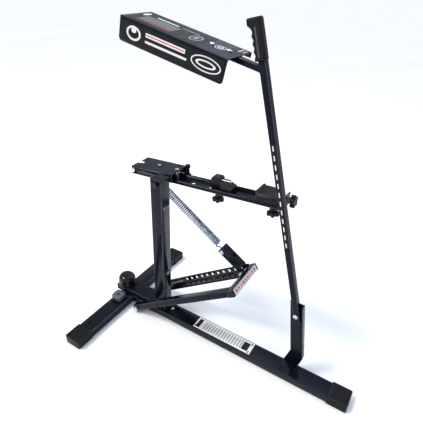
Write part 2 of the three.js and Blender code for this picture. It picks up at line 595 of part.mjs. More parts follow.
function pole(root) {
  poleBracket(root);
  const half = POLE.size / 2;
  // Local Z runs up the pole from its bolt.
  const group = tilted(root, POLE.x, POLE.y, POLE.z, POLE.lean);
  const bar = tube('z', [-half, half, -half, half, POLE.below, POLE.top], POLE.wall);
  const bore = rod('y', POLE_BOLT + GAP, -half - 1, half + 1, [0, 0], 16);
  put(group, 'pole', bar.subtract(bore), 'paint');

  const pocket = half + GAP;
  const rough = plateXZ(gripOutline(), -GRIP.half, GRIP.half);
  const hollow = box(-pocket, pocket, -pocket, pocket, GRIP.bottom - 1, POLE.top + GAP);
  put(group, 'pole_grip', rough.subtract(hollow), 'grip');

  const at = [POLE.x, POLE.z];
  const web1 = BASE.wide / 2;
  put(root, 'pole_bolt', boltY(POLE_BOLT, POLE.y - half - GAP, web1 + 8, at, 5), 'zinc');
  put(root, 'pole_nut', nutY(POLE_BOLT, web1 + GAP, at), 'zinc');
}

// The shield's near flange, with rounded lower corners.
function shieldFlange() {
  const { long, wide, drop, thick, corner } = SHIELD;
  const steps = 5;
  const points = [[0, 0], [-long, 0]];
  for (const [x, start] of [[-long + corner, Math.PI], [-corner, Math.PI * 1.5]]) {
    for (let i = 0; i <= steps; i += 1) {
      const angle = start + (i / steps) * (Math.PI / 2);
      points.push([x + corner * Math.cos(angle), -drop + corner + corner * Math.sin(angle)]);
    }
  }
  return plateXZ(points, -wide / 2, -wide / 2 + thick);
}

function shield(root) {
  const { long, wide, lip, thick } = SHIELD;
  const half = wide / 2;
  // Local X runs back along the top plate, from its front at -long to its rear edge at 0.
  const group = tilted(root, SHIELD.x, POLE.y, SHIELD.z, -SHIELD.tilt);
  const far = box(-long, 0, half - thick, half, -lip, 0);
  let sheet = box(-long, 0, -half, half, -thick, 0).add(shieldFlange()).add(far);
  const stayTop = -thick - GAP;
  const stayLow = stayTop - STAY.high;
  const stayHalf = POLE.size / 2;
  const reach = 60; // well past the pole, where the stay is then cut off
  const stayFront = -SHIELD_BOLTS[1] - STAY.past;
  let stay = tube('x', [stayFront, reach, -stayHalf, stayHalf, stayLow, stayTop], POLE.wall);
  for (const [end, back] of [['rear', SHIELD_BOLTS[0]], ['front', SHIELD_BOLTS[1]]]) {
    const at = [-back, 0];
    const hole = rod('z', SCREW.hole, stayLow - 8, 1, at, 12);
    sheet = sheet.subtract(hole);
    stay = stay.subtract(hole);
    const head = rod('z', HEADS.shield, GAP, 4, at, 6);
    put(group, `shield_bolt_${end}`, rod('z', SCREW.radius, stayLow - 8, 1, at, 12).add(head), 'zinc');
    const nut = rod('z', HEADS.shieldNut, stayLow - GAP - 5, stayLow - GAP, at, 6);
    put(group, `shield_nut_${end}`, nut.subtract(hole), 'zinc');
  }
  put(group, 'shield', sheet, 'paint');

  // The stay is cut off square to the pole's front face.
  const lean = rad(POLE.lean);
  const [jointX, jointZ] = [POLE.x - STAY.up * Math.sin(lean), POLE.z + STAY.up * Math.cos(lean)];
  const joint = new THREE.Vector3(jointX, POLE.y, jointZ);
  group.updateMatrixWorld(true);
  group.worldToLocal(joint);
  const beyond = box(-POLE.size / 2 - GAP, 80, -60, 60, -150, 150)
    .rotate([0, -POLE.lean - SHIELD.tilt, 0])
    .translate([joint.x, 0, joint.z]);
  put(group, 'shield_stay', stay.subtract(beyond), 'paint');
}

// ---------------------------------------------------------------- assembly
const machine = new THREE.Group();
const root = new THREE.Group();
machine.add(root);
base(root);
deck(root);
mast(root);
throwing(root);
pedalFrame(root);
springLink(root);
pole(root);
shield(root);

root.updateMatrixWorld(true);
const bounds = new THREE.Box3().setFromObject(root, true);
root.position.set(-(bounds.min.x + bounds.max.x) / 2, -(bounds.min.y + bounds.max.y) / 2, -bounds.min.z);

export default machine;
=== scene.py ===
import json
import math

import bmesh
import bpy
from mathutils import Matrix, Vector

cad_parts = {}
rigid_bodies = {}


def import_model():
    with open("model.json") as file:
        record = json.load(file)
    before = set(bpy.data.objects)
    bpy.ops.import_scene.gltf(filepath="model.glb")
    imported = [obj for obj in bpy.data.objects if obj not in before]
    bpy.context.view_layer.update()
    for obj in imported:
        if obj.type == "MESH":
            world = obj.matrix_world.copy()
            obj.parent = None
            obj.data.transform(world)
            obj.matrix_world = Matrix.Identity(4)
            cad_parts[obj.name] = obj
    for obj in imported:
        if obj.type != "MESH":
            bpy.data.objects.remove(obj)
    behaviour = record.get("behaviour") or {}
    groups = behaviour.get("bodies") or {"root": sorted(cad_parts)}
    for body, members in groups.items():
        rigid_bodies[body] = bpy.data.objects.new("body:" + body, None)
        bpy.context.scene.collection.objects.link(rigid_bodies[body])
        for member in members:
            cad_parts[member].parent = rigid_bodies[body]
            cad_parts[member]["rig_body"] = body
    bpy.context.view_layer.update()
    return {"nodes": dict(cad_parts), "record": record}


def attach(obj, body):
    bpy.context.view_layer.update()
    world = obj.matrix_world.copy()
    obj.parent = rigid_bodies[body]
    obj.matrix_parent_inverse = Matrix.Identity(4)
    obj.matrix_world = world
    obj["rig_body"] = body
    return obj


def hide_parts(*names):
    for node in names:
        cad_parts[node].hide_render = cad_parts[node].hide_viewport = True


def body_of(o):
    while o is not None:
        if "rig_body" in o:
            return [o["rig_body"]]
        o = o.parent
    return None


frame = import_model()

MM = 0.001
TAU = 2 * math.pi

# ------------------------------------------------------------------ camera
CAMERA_PLACE = (0.38473, -0.74589, 0.98009)
CAMERA_AZIMUTH, CAMERA_ELEVATION, CAMERA_ROLL = 30.26, 31.68, 2.75  # degrees
CAMERA_LENS, SENSOR_WIDTH = 33.75, 36  # mm
CAMERA_REACH = 200  # metres


def make_camera():
    azimuth, elevation, roll = (math.radians(v) for v in (CAMERA_AZIMUTH, CAMERA_ELEVATION, CAMERA_ROLL))
    back = Vector((math.sin(azimuth) * math.cos(elevation), -math.cos(azimuth) * math.cos(elevation),
                   math.sin(elevation)))
    right = Vector((math.cos(azimuth), math.sin(azimuth), 0))
    up = back.cross(right)
    rolled_right = right * math.cos(roll) + up * math.sin(roll)
    rolled_up = up * math.cos(roll) - right * math.sin(roll)
    turn = Matrix((rolled_right, rolled_up, back)).transposed().to_4x4()
    camera = bpy.data.objects.new("camera", bpy.data.cameras.new("camera"))
    camera.matrix_world = Matrix.Translation(CAMERA_PLACE) @ turn
    camera.data.lens = CAMERA_LENS
    camera.data.sensor_width = SENSOR_WIDTH
    camera.data.clip_end = CAMERA_REACH
    bpy.context.scene.collection.objects.link(camera)
    bpy.context.scene.camera = camera


make_camera()


# ------------------------------------------------------------------ materials
class Look:
    """A Principled material whose colour, roughness and bump come from nodes in object coordinates."""

    def __init__(self, name, **constants):
        self.material = bpy.data.materials.new(name)
        self.material.use_nodes = True
        self.tree = self.material.node_tree
        self.shader = self.tree.nodes["Principled BSDF"]
        self.place = self.node("ShaderNodeTexCoord").outputs["Object"]
        for socket, value in constants.items():
            self.shader.inputs[socket.replace("_", " ")].default_value = value

    def node(self, kind, **settings):
        made = self.tree.nodes.new(kind)
        for key, value in settings.items():
            setattr(made, key, value)
        return made

    def link(self, source, target):
        self.tree.links.new(source, target)

    def stretched(self, scale, turn):
        mapping = self.node("ShaderNodeMapping")
        mapping.inputs["Scale"].default_value = scale
        mapping.inputs["Rotation"].default_value = turn
        self.link(self.place, mapping.inputs["Vector"])
        return mapping.outputs["Vector"]

    def noise(self, scale, detail=3.0, rough=0.55, place=None):
        made = self.node("ShaderNodeTexNoise")
        made.inputs["Scale"].default_value = scale
        made.inputs["Detail"].default_value = detail
        made.inputs["Roughness"].default_value = rough
        self.link(place or self.place, made.inputs["Vector"])
        return made.outputs["Fac"]

    def cells(self, scale):
        made = self.node("ShaderNodeTexVoronoi")
        made.inputs["Scale"].default_value = scale
        self.link(self.place, made.inputs["Vector"])
        return made.outputs["Distance"]

    def remap(self, value, low, high, to_low, to_high):
        made = self.node("ShaderNodeMapRange")
        for socket, number in zip(("From Min", "From Max", "To Min", "To Max"), (low, high, to_low, to_high)):
            made.inputs[socket].default_value = number
        self.link(value, made.inputs["Value"])
        return made.outputs["Result"]

    def times(self, a, b):
        made = self.node("ShaderNodeMath", operation="MULTIPLY")
        self.link(a, made.inputs[0])
        self.link(b, made.inputs[1])
        return made.outputs[0]

    def blend(self, factor, a, b):
        """Colour a where the factor is 0, b where it is 1. Each is a colour or an output."""
        made = self.node("ShaderNodeMix", data_type="RGBA")
        self.link(factor, made.inputs["Factor"])
        for socket, value in ((made.inputs[6], a), (made.inputs[7], b)):
            if isinstance(value, tuple):
                socket.default_value = (*value, 1)
            else:
                self.link(value, socket)
        return made.outputs[2]

    def worn(self):
        """The mark on bevels and rubbed tops, from 0 to 1, broken up by noise. Where it is high the colour
        turns lighter, partly as scuffing and partly as a painted highlight.
        """
        mark = self.node("ShaderNodeAttribute", attribute_name="wear_and_highlight").outputs["Fac"]
        return self.times(mark, self.remap(self.noise(34, 4, 0.6), 0.3, 0.7, 0.25, 1))

    def colour(self, output):
        self.link(output, self.shader.inputs["Base Color"])

    def roughness(self, output):
        self.link(output, self.shader.inputs["Roughness"])

    def bump(self, height, strength, distance):
        made = self.node("ShaderNodeBump")
        made.inputs["Strength"].default_value = strength
        made.inputs["Distance"].default_value = distance
        self.link(height, made.inputs["Height"])
        self.link(made.outputs["Normal"], self.shader.inputs["Normal"])


def paint():
    look = Look("gloss_black_paint", Specular_IOR_Level=0.16)
    cloud = look.remap(look.noise(11, 4), 0.3, 0.7, 0, 1)
    base = look.blend(cloud, (0.002, 0.0026, 0.0075), (0.0036, 0.0047, 0.012))
    dust = look.remap(look.noise(260, 5, 0.7), 0.62, 0.78, 0, 0.16)
    dusty = look.blend(dust, base, (0.045, 0.043, 0.040))
    # Marked bevels turn a lighter bluish grey: partly scuffed paint, partly a painted highlight along the
    # rounded edges.
    look.colour(look.blend(look.worn(), dusty, (0.078, 0.084, 0.10)))
    look.roughness(look.remap(look.noise(38, 4), 0.3, 0.75, 0.16, 0.32))
    look.bump(look.noise(720, 2), 0.12, 0.0004)
    return look.material


def zinc(name="zinc_plate", dark=(0.44, 0.46, 0.50), light=(0.74, 0.77, 0.82)):
    look = Look(name, Metallic=1.0)
    patch = look.remap(look.noise(90, 4, 0.6), 0.32, 0.68, 0, 1)
    base = look.blend(patch, dark, light)
    stain = look.remap(look.noise(330, 3, 0.6), 0.6, 0.75, 0, 0.5)
    look.colour(look.blend(stain, base, (0.30, 0.29, 0.26)))
    look.roughness(look.remap(look.noise(420, 3), 0.3, 0.7, 0.2, 0.42))
    look.bump(look.noise(1500, 2), 0.15, 0.0002)
    return look.material


def moulded(name, dark, light, rough, grain, depth, dust=0.12, specular=0.5):
    """Rubber or plastic: a fine moulded grain, cloudy colour and a little dust."""
    look = Look(name, Specular_IOR_Level=specular)
    base = look.blend(look.remap(look.noise(24, 4), 0.32, 0.7, 0, 1), dark, light)
    dusting = look.remap(look.noise(190, 5, 0.7), 0.55, 0.8, 0, dust)
    rubbed = look.blend(dusting, base, (0.30, 0.29, 0.27))
    # Marked edges and tops get a lighter tone: partly scuffing and dust, partly a painted highlight.
    worn_and_highlight_tone = tuple(min(0.8, c * 2.2 + 0.012) for c in light)
    look.colour(look.blend(look.worn(), rubbed, worn_and_highlight_tone))
    look.roughness(look.remap(look.noise(60, 4), 0.3, 0.7, *rough))
    look.bump(look.cells(grain), 0.35, depth)
    return look.material


def ink(name, colour, rough=0.32):
    """Printed vinyl, slightly faded and scuffed."""
    look = Look(name, Specular_IOR_Level=0.2)
    faded = tuple(c * 0.86 + 0.004 for c in colour)
    rubbed = tuple(c * 0.7 + 0.07 for c in colour)
    base = look.blend(look.remap(look.noise(45, 4), 0.3, 0.7, 0, 1), colour, faded)
    scuff = look.remap(look.noise(150, 5, 0.7, look.stretched((1, 5, 5), (0, 0, 0.6))), 0.64, 0.78, 0, 0.4)
    look.colour(look.blend(scuff, base, rubbed))
    look.roughness(look.remap(look.noise(80, 3), 0.3, 0.7, rough - 0.08, rough + 0.12))
    look.bump(look.noise(520, 2), 0.08, 0.0003)
    return look.material


# Each look: its material, and the slot of the record that it belongs to.
LOOKS = {
    "paint": (paint(), "paint"),
    "zinc": (zinc(), "zinc"),
    "blue_zinc": (zinc("blue_zinc", (0.40, 0.48, 0.62), (0.72, 0.80, 0.92)), "zinc"),
    "dark_steel": (zinc("dark_steel", (0.020, 0.020, 0.022), (0.06, 0.06, 0.064)), "zinc"),
    "spring_zinc": (zinc("spring_zinc", (0.07, 0.085, 0.13), (0.40, 0.45, 0.55)), "zinc"),
    "rubber": (moulded("black_rubber", (0.003, 0.003, 0.0034), (0.006, 0.006, 0.0066),
                       (0.34, 0.52), 900, 0.00012, 0.02, 0.14), "rubber"),
    "bumper": (moulded("bumper_rubber", (0.0025, 0.0027, 0.0036), (0.005, 0.0053, 0.0068),
                       (0.14, 0.24), 500, 0.00004, 0.012, 0.32), "rubber"),
    "grip": (moulded("grip_rubber", (0.005, 0.0054, 0.0062), (0.010, 0.0107, 0.012),
                     (0.42, 0.62), 1100, 0.0003, 0.04, 0.16), "grip"),
    "pale_grip_ribs": (moulded("pale_grip_ribs", (0.10, 0.10, 0.105), (0.22, 0.22, 0.23),
                          (0.4, 0.55), 900, 0.0002, 0.3), "grip"),
    "plastic": (moulded("black_plastic", (0.004, 0.004, 0.0045), (0.009, 0.009, 0.010),
                        (0.3, 0.48), 1300, 0.00015, 0.04, 0.22), "plastic"),
    "pad": (moulded("grey_pad", (0.05, 0.053, 0.063), (0.085, 0.09, 0.104),
                    (0.42, 0.6), 850, 0.0002, 0.25), "pad"),
    "white_ink": (ink("white_vinyl", (0.74, 0.74, 0.73)), "plastic"),
    "grey_ink": (ink("grey_print", (0.30, 0.30, 0.31)), "plastic"),
    "red_ink": (ink("red_print", (0.52, 0.045, 0.075)), "plastic"),
    "pink_ink": (ink("pink_print", (0.68, 0.22, 0.27)), "plastic"),
    "black_ink": (ink("black_print", (0.0045, 0.004, 0.0045), 0.4), "plastic"),
}


# ------------------------------------------------------------------ mesh building
# Shapes are built in millimetres in a local frame, and a matrix in metres puts them in place.
def tilted(origin, degrees):
    """Local X runs up towards +X by that angle, and local Y stays along Y."""
    return Matrix.Translation(origin) @ Matrix.Rotation(-math.radians(degrees), 4, "Y")


AXIS_TURN = {
    "x": Matrix.Rotation(math.radians(90), 4, "Y"),
    "y": Matrix.Rotation(math.radians(-90), 4, "X"),
    "z": Matrix.Identity(4),
}


def along(axis, at=(0, 0, 0)):
    """Millimetres: local Z turned to that axis, from that point."""
    return Matrix.Translation(at) @ AXIS_TURN[axis]


def dress(name, mesh, looks, body, replaces, sharp):
    mesh.polygons.foreach_set("use_smooth", [True] * len(mesh.polygons))
    mesh.set_sharp_from_angle(angle=math.radians(sharp))
    for look in looks.split():
        mesh.materials.append(LOOKS[look][0])
    made = bpy.data.objects.new(name, mesh)
    bpy.context.scene.collection.objects.link(made)
    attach(made, body)
    if replaces:
        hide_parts(*replaces)


def piece(name, bm, place, looks, body, replaces, sharp):
    bmesh.ops.recalc_face_normals(bm, faces=bm.faces)
    bm.transform(place @ Matrix.Scale(MM, 4))
    mesh = bpy.data.meshes.new(name)
    bm.to_mesh(mesh)
    bm.free()
    dress(name, mesh, looks, body, replaces, sharp)


def loft(bm, rings, turn=None, closed=False):
    """Joins rings of points into a skin, with a face on each end unless it closes on itself."""
    turn = turn or Matrix.Identity(4)
    made = [[bm.verts.new(turn @ Vector(p)) for p in ring] for ring in rings]
    count = len(made[0])
    stations = made + [made[0]] if closed else made
    for low, high in zip(stations, stations[1:]):
        for i in range(count):
            j = (i + 1) % count
            bm.faces.new((low[i], low[j], high[j], high[i]))
    if not closed:
        bm.faces.new(list(reversed(made[0])))
        bm.faces.new(made[-1])


def circle(radius, z, count=40):
    return [(radius * math.cos(TAU * i / count), radius * math.sin(TAU * i / count), z) for i in range(count)]


def lathe(bm, profile, turn=None, count=40, closed=False):
    loft(bm, [circle(r, z, count) for r, z in profile], turn, closed)


CHAMFER = 0.5  # mm, at the ends of shanks and sleeves
SHANK_SIDES = 24


def hexagon(bm, low, high, corner, turn):
    """A hexagon head or nut whose corners are turned off at both faces."""
    half_side, turned_slope = math.radians(30), math.tan(math.radians(32))
    flat = corner * math.cos(half_side)
    inner = flat * 0.97
    count = 48
    rows = [[], [], [], []]
    for i in range(count):
        angle = TAU * i / count
        reach = flat / math.cos((angle + half_side) % math.radians(60) - half_side)
        cut = (reach - inner) * turned_slope
        for row, radius, z in zip(rows, (inner, reach, reach, inner), (low, low + cut, high - cut, high)):
            row.append((radius * math.cos(angle), radius * math.sin(angle), z))
    loft(bm, rows, turn)


def shank(bm, low, high, radius, turn):
    tip = radius - CHAMFER
    profile = [(tip, low), (radius, low + CHAMFER), (radius, high - CHAMFER), (tip, high)]
    lathe(bm, profile, turn, SHANK_SIDES)


def thread(bm, low, high, radius, turn):
    """Screw thread drawn as fine rings, with a chamfered tip at both ends."""
    pitch, tip = 1.3, 0.4
    end, root = radius - 1.0, radius - 0.75
    turns = max(2, int((high - low - 2 * tip) / pitch))
    profile = [(end, low)]
    for i in range(turns):
        z = low + tip + i * pitch
        profile += [(root, z), (radius, z + pitch * 0.45), (radius, z + pitch * 0.6)]
    profile += [(root, high - tip), (end, high)]
    lathe(bm, profile, turn, SHANK_SIDES)


def pan(bm, low, high, radius, turn):
    """A domed head with a round recess in its middle."""
    tall = high - low
    profile = [(radius * 0.96, low), (radius, low + tall * 0.12), (radius, low + tall * 0.3)]
    for i in range(1, 6):
        angle = math.radians(i * 13)
        rise = 0.3 + 0.7 * math.sin(angle) / math.sin(math.radians(65))
        profile.append((radius * math.cos(angle), low + tall * rise))
    recess = high - tall * 0.4
    profile += [(radius * 0.34, high), (radius * 0.3, recess), (radius * 0.05, recess)]
    lathe(bm, profile, turn, 32)


FASTENER_PARTS = {"hex": hexagon, "shank": shank, "thread": thread, "pan": pan}


def fastener(node, place, axis, at, parts, body, look="zinc"):
    """parts: (kind, from, to, radius) along the axis from the point."""
    bm = bmesh.new()
    for kind, low, high, radius in parts:
        FASTENER_PARTS[kind](bm, low, high, radius, along(axis, at))
    piece(node + "_made", bm, place, look, body, (node,), 40)


def sleeve(node, place, axis, at, low, high, radius, bore, body):
    """A spacer ring or tube with chamfered ends."""
    rim = radius - CHAMFER
    profile = [(bore, low), (rim, low), (radius, low + CHAMFER), (radius, high - CHAMFER), (rim, high),
               (bore, high)]
    bm = bmesh.new()
    lathe(bm, profile, along(axis, at), 40, closed=True)
    piece(node + "_made", bm, place, "zinc", body, (node,), 40)


def sweep(bm, points, radii, sides):
    """A round wire along points, with a radius for each."""
    points = [Vector(p) for p in points]
    heading = (points[1] - points[0]).normalized()
    normal = heading.orthogonal().normalized()
    rings = []
    last = len(points) - 1
    for i, (point, radius) in enumerate(zip(points, radii)):
        heading = (points[min(i + 1, last)] - points[max(i - 1, 0)]).normalized()
        normal = (normal - heading * normal.dot(heading)).normalized()
        side = heading.cross(normal)
        rings.append([point + (normal * math.cos(TAU * k / sides) + side * math.sin(TAU * k / sides)) * radius
                      for k in range(sides)])
    loft(bm, rings)


def spline(points, steps):
    """A smooth curve through the points, with that many steps between neighbours."""
    points = [Vector(p) for p in points]
    ends = [points[0] * 2 - points[1], *points, points[-1] * 2 - points[-2]]
    out = []
    for a, b, c, d in zip(ends, ends[1:], ends[2:], ends[3:]):
        for i in range(steps):
            t = i / steps
            out.append(0.5 * (2 * b + (c - a) * t + (2 * a - 5 * b + 4 * c - d) * t * t
                              + (3 * b - a - 3 * c + d) * t * t * t))
    out.append(points[-1])
    return out


def weld(name, place, corners, radius, body):
    """A weld bead along a broken line, with the ripples of its pools."""
    step, ripple = 0.9, 3.1  # mm from ring to ring, and from pool to pool
    end_share, taper_length = 0.45, 3
    trough, swell = 0.86, 0.14
    points, travelled = [], [0.0]
    for a, b in zip(corners, corners[1:]):
        a, b = Vector(a), Vector(b)
        count = max(2, int((b - a).length / step))
        points += [a.lerp(b, i / count) for i in range(count)]
    points.append(Vector(corners[-1]))
    for a, b in zip(points, points[1:]):
        travelled.append(travelled[-1] + (b - a).length)
    total = travelled[-1]
    radii = []
    for s in travelled:
        taper = min(1, end_share + min(s, total - s) / taper_length)
        radii.append(radius * taper * (trough + swell * abs(math.sin(math.pi * s / ripple))))
    bm = bmesh.new()
    sweep(bm, points, radii, 8)
    piece(name, bm, place, "paint", body, (), 50)


BROAD_TURN, FINE_TURN = 0.9, 0.62  # radians between the faces of a corner to round, of an edge to break
BROAD_LENGTH, FINE_LENGTH, BROAD_FACE = 5, 2.2, 2.3  # least edge length and face width, in bevel widths


def bevel(bm, edges, width, segments, wear_and_highlight):
    """Bevels the edges and marks the new faces for the lighter edge tone, which is partly scuffing and partly
    a painted highlight.
    """
    made = bmesh.ops.bevel(bm, geom=edges, offset=width * MM, offset_type="OFFSET", segments=segments,
                           profile=0.5, affect="EDGES", clamp_overlap=True)
    for face in made["faces"]:
        face[wear_and_highlight] = 1


def soften(node, look, broad, fine, rounds=3, rubbed_and_highlit_top=0):
    """A copy of a CAD node with its broad outside corners rounded and its sharp edges broken."""
    source = frame["nodes"][node]
    bm = bmesh.new()
    bm.from_mesh(source.data)
    bmesh.ops.remove_doubles(bm, verts=bm.verts, dist=2e-5)
    bmesh.ops.dissolve_limit(bm, angle_limit=math.radians(1.5), verts=bm.verts, edges=bm.edges)
    wear_and_highlight = bm.faces.layers.float.new("wear_and_highlight")
    if broad:
        wide = [e for e in bm.edges if len(e.link_faces) == 2 and e.calc_face_angle_signed(0) > BROAD_TURN
                and e.calc_length() > BROAD_LENGTH * broad * MM
                and min(f.calc_area() / e.calc_length() for f in e.link_faces) > BROAD_FACE * broad * MM]
        bevel(bm, wide, broad, rounds, wear_and_highlight)
    sharp = [e for e in bm.edges if len(e.link_faces) == 2 and e.calc_face_angle_signed(0) > FINE_TURN
             and e.calc_length() > FINE_LENGTH * fine * MM]
    bevel(bm, sharp, fine, 1, wear_and_highlight)
    bmesh.ops.recalc_face_normals(bm, faces=bm.faces)
    # The highest flat faces get the lighter tone too: rubbing on the tops, and a painted highlight on them.
    if rubbed_and_highlit_top:
        top = max(v.co.z for v in bm.verts)
        for face in bm.faces:
            if face.normal.z > 0.95 and face.calc_center_median().z > top - 0.2 * MM:
                face[wear_and_highlight] = rubbed_and_highlit_top
    mesh = bpy.data.meshes.new(node + "_soft")
    bm.to_mesh(mesh)
    bm.free()
    dress(node + "_soft", mesh, look, body_of(source)[0], (node,), 34)


# ------------------------------------------------------------------ places
JOINTS = {row["name"]: row for row in frame["record"]["behaviour"]["joints"]}
CROSSING = Vector((-0.352, 0, 0))  # the floor point where the two base tubes cross
ARM_TILT, PEDAL_TILT, POLE_LEAN, SHIELD_TILT = 4.4, 35.5, 15.7, -11.7  # degrees
FLOOR = Matrix.Translation(CROSSING)
ARM = tilted(JOINTS["arm_swing"]["pos_m"], ARM_TILT)
PEDAL = tilted(JOINTS["pedal_press"]["pos_m"], PEDAL_TILT)
POLE = tilted(CROSSING + Vector((0.5655, 0.0141, 0.221)), POLE_LEAN)
SHIELD = tilted(CROSSING + Vector((0.344, 0.0141, 0.828)), SHIELD_TILT)
HUB_BOLT = Vector((-112, 0, 3.6))  # mm along, across and above the axle, in the arm's frame
LINK_FOOT = Vector(JOINTS["spring_link_turn"]["pos_m"])
LINK_RUN = ARM @ (HUB_BOLT * MM) - LINK_FOOT
LINK_LENGTH = LINK_RUN.length / MM
LINK = tilted(LINK_FOOT, math.degrees(math.atan2(LINK_RUN.z, LINK_RUN.x)))

BASE_TOP, DECK_TOP = 27.2, 46.0  # mm above the floor
GAP = 0.3  # mm between neighbouring pieces


# ------------------------------------------------------------------ painted and moulded pieces
for node, broad in (("base_main_tube", 3.2), ("base_cross_tube", 3.2), ("deck_channel", 2.6), ("mast", 3.0),
                    ("hub_channel", 3.2), ("throwing_arm", 2.4), ("pedal_near_tube", 2.2),
                    ("pedal_far_bar", 2.2), ("pedal_tread", 2.6), ("spring_bracket", 2.6), ("pole", 2.0),
                    ("shield_stay", 2.0), ("shield", 1.6), ("pole_bracket", 0), ("arm_end_plate", 0),
                    ("mast_cap", 0)):
    soften(node, "paint", broad, 0.5)
# Rubber caps, whose rib tops get the lighter tone: partly rubbing, partly a painted highlight.
for node in ("cap_rear", "cap_near", "cap_far"):
    soften(node, "rubber", 4.0, 0.3, 4, 0.45)
for node, broad in (("release_block", 1.2), ("rear_block", 1.8), ("ball_cradle", 1.0),
                    ("tread_plug_near", 0.9), ("tread_plug_far", 0.9)):
    soften(node, "plastic", broad, 0.4)


def bumper():
    """A flanged foot, a straight side, a rounded shoulder, and a groove round the small flat top."""
    bm = bmesh.new()
    side, top_radius, shoulder, top = 27.5, 12.5, 21.0, 36.8
    profile = [(27.8, 0), (28.8, 0.5), (29, 1.4), (29, 5.6), (28.7, 6.5), (27.9, 7.2), (side, 8.4),
               (side, 14), (side, shoulder)]
    steps = 12
    for i in range(1, steps + 1):
        angle = math.radians(88 * i / steps)
        profile.append((top_radius + (side - top_radius) * math.cos(angle),
                        shoulder + (top - shoulder) * math.sin(angle)))
    profile += [(12.6, top - 0.3), (12.0, top - 1.6), (10.8, top - 1.6), (10.2, top - 0.2), (9.2, top),
                (4, top + 0.2), (0.6, top + 0.2)]
    lathe(bm, profile, along("z", (-18, 0, DECK_TOP + GAP)), 64)
    piece("deck_bumper_made", bm, FLOOR, "bumper", "floor_frame", ("deck_bumper",), 40)


def rounded_square(half, corner, z, count):
    out = []
    for i in range(count):
        angle = TAU * (i + 0.5) / count
        x, y = math.cos(angle), math.sin(angle)
        power = 2 + 3.2 * (1 - corner / half)
        reach = half / (abs(x) ** power + abs(y) ** power) ** (1 / power)
        out.append((x * reach, y * reach, z))
    return out


def pad():
    bm = bmesh.new()
    outside = ((18.2, 0.2), (19, 1.2), (19, 11.5), (18.4, 13.6), (17.0, 15.0), (14.5, 15.5), (8, 15.4))
    corner, sides = 9, 64
    rings = [rounded_square(half, corner, z, sides) for half, z in outside]
    rings += [circle(r, z, sides) for r, z in ((5.6, 15.3), (4.4, 14.4), (4.2, 9.0), (1.0, 8.4))]
    loft(bm, rings, along("z", (-7, -56, BASE_TOP + GAP)))
    piece("deck_pad_made", bm, FLOOR, "pad", "floor_frame", ("deck_pad",), 40)


def hub_stop():
    bm = bmesh.new()
    profile = [(4.2, -5.7), (4.5, -5.2), (4.5, 10.2), (5.2, 10.8), (6.6, 11.0), (7.2, 11.8), (7.2, 18.6),
               (6.8, 20.0), (5.6, 20.8), (3.0, 21.0), (0.6, 21.0)]
    lathe(bm, profile, along("z", (28.6, 32.5, 0)), 40)
    piece("hub_stop_made", bm, ARM, "rubber", "arm_group", ("hub_stop",), 40)


LOBES, LOBE_RADIUS, VALLEY, KNOB_TALL = 5, 16.5, 5.4, 13


def star_ring(inset, z, count):
    out = []
    for i in range(count):
        angle = TAU * i / count
        dip = (0.5 - 0.5 * math.cos(angle * LOBES)) ** 1.3
        radius = LOBE_RADIUS - VALLEY * dip - inset
        out.append((radius * math.cos(angle), radius * math.sin(angle), z))
    return out


def star_knob(node, place, turn, stem_long, stud_top, body):
    """A five-lobed knob below z = 0 on a stem, with rounded rims and a dished face."""
    count = 100
    face = -stem_long - KNOB_TALL
    rings = [circle(6.4, 0, count), circle(7, -0.6, count)]
    if stem_long > 6:
        rings += [circle(7, -stem_long + 4, count), circle(7.5, -stem_long + 1.5, count),
                  circle(8.8, -stem_long + 0.3, count)]
    lobes = ((3.4, -stem_long), (1.2, -stem_long - 0.5), (0.2, -stem_long - 1.7), (0, -stem_long - 3.5),
             (0, face + 3.5), (0.2, face + 1.7), (1.2, face + 0.5), (3.2, face))
    rings += [star_ring(inset, z, count) for inset, z in lobes]
    rings += [circle(7.2, face, count), circle(6.6, face + 0.9, count), circle(1.0, face + 1.2, count)]
    bm = bmesh.new()
    loft(bm, rings, turn)
    piece(node + "_made", bm, place, "plastic", body, (node,), 40)
    if stud_top > 1:
        stud = bmesh.new()
        thread(stud, -1, stud_top, 3, turn)
        piece(node + "_stud", stud, place, "zinc", body, (), 40)


def grip():
    bottom, top, under = 628.0, 708.6, 690.0  # mm along the pole. The front swells out above the last.
    levels, sides, squareness = 58, 40, 0.55
    rings = []
    for i in range(levels + 1):
        z = bottom + (top - bottom) * i / levels
        if z < under:
            swell = math.cos((under - z) / (under - bottom - 4) * 4 * TAU)
            front = -14.5 - 1.3 * swell
        else:
            front = -15.8 - 6.6 * min(1, ((z - under) / 6) ** 0.8)
        back = 10.0
        half = 11.0
        rim = max(0, (z - (top - 5)) / 5, 1 - (z - bottom) / 2)
        shrink = 2.6 * (1 - math.sqrt(max(0, 1 - min(1, rim) ** 2)))
        front, back, half = front + shrink, back - shrink, half - shrink
        centre, reach = (front + back) / 2, (back - front) / 2
        ring = []
        for k in range(sides):
            angle = TAU * k / sides
            c, s = math.cos(angle), math.sin(angle)
            ring.append((centre + reach * math.copysign(abs(c) ** squareness, c),
                         half * math.copysign(abs(s) ** squareness, s), z))
        rings.append(ring)
    bm = bmesh.new()
    loft(bm, rings)
    piece("pole_grip_made", bm, POLE, "grip", "floor_frame", ("pole_grip",), 50)

    # A strip of small slanted ribs on each side, towards the front, in a pale grey.
    ribs = bmesh.new()
    x, first, pitch, slant = -3.2, 636, 2.7, 1.9
    for side in (-1, 1):
        for i in range(21):
            z = first + i * pitch
            rib = [(x - slant, side * 10.9, z - 0.8), (x, side * 11.0, z), (x + slant, side * 10.9, z + 0.8)]
            sweep(ribs, rib, (0.45, 0.6, 0.45), 6)
    piece("grip_ribs", ribs, POLE, "pale_grip_ribs", "floor_frame", (), 50)


